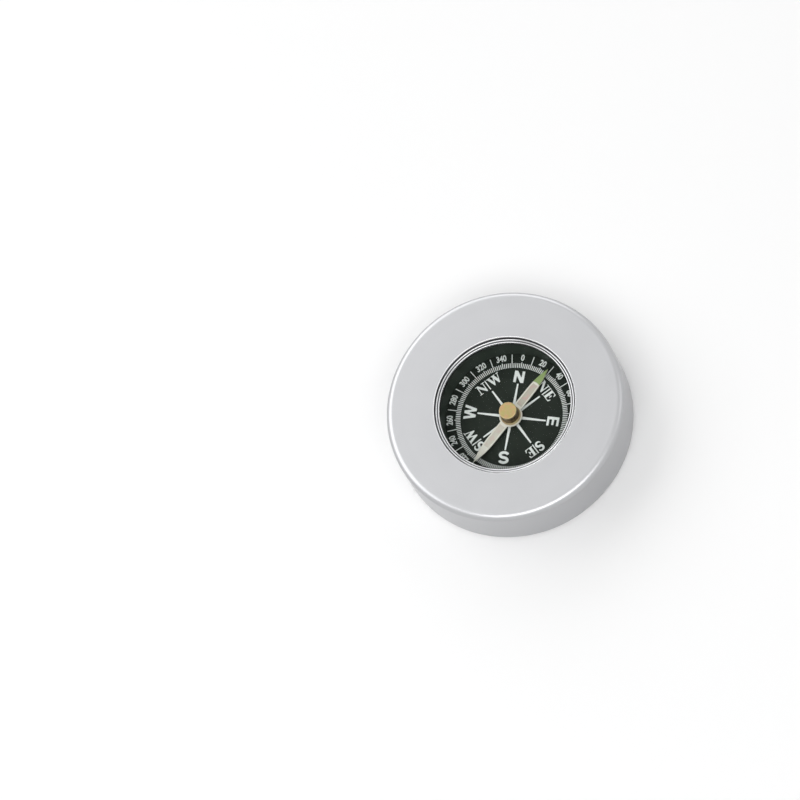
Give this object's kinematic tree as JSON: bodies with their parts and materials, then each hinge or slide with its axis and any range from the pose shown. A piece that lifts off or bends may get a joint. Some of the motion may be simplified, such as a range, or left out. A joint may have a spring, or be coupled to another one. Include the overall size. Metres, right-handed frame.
{
  "type": "pocket compass",
  "caption": "Round satin aluminium pocket compass: a magnetic needle with a brass hub turns on a steel point over a black degree dial, behind a window in a polished bezel.",
  "frame": {"origin": "middle of the base disc's underside, on the surface that the compass rests on", "axes": "+Z out through the window, along the needle's axis; +Y towards the dial's north; +X towards its east"},
  "size_m": [0.055, 0.055, 0.0135],
  "materials": {
    "case_metal": "satin, fine bead-blasted and clear anodised",
    "disc_rubber": "black rubber, fine grain",
    "adhesive": "double-sided adhesive",
    "cup_metal": "drawn sheet",
    "post_brass": "turned",
    "pin_steel": "hardened and ground",
    "dial_black": "satin black lacquer",
    "dial_ink": "white printing ink",
    "wall_black": "glossy black",
    "gasket": "flat gasket",
    "window": "clear, polished",
    "bezel_chrome": "polished",
    "needle_steel": "cream lacquer on steel",
    "tip_green": "luminous paint",
    "hub_brass": "turned, satin",
    "jewel_stone": "polished stone"
  },
  "bodies": {
    "case": {"case_body": "case_metal", "base_disc": "disc_rubber", "capsule_adhesive": "adhesive", "capsule_cup": "cup_metal", "pivot_boss": "post_brass", "pivot_pin": "pin_steel", "dial_plate": "dial_black", "dial_scale": "dial_ink", "dial_rose": "dial_ink", "wall_ring": "wall_black", "crystal_gasket": "gasket", "crystal": "window", "bezel_ring": "bezel_chrome"},
    "needle": {"needle_plate": "needle_steel", "tip_paint": "tip_green", "needle_hub": "hub_brass", "jewel": "jewel_stone"}
  },
  "joints": [
    {"name": "needle_spin", "type": "hinge", "parent": "case", "child": "needle", "pos_m": [0, 0, 0.0086], "axis": [0, 0, 1], "continuous": true}
  ]
}
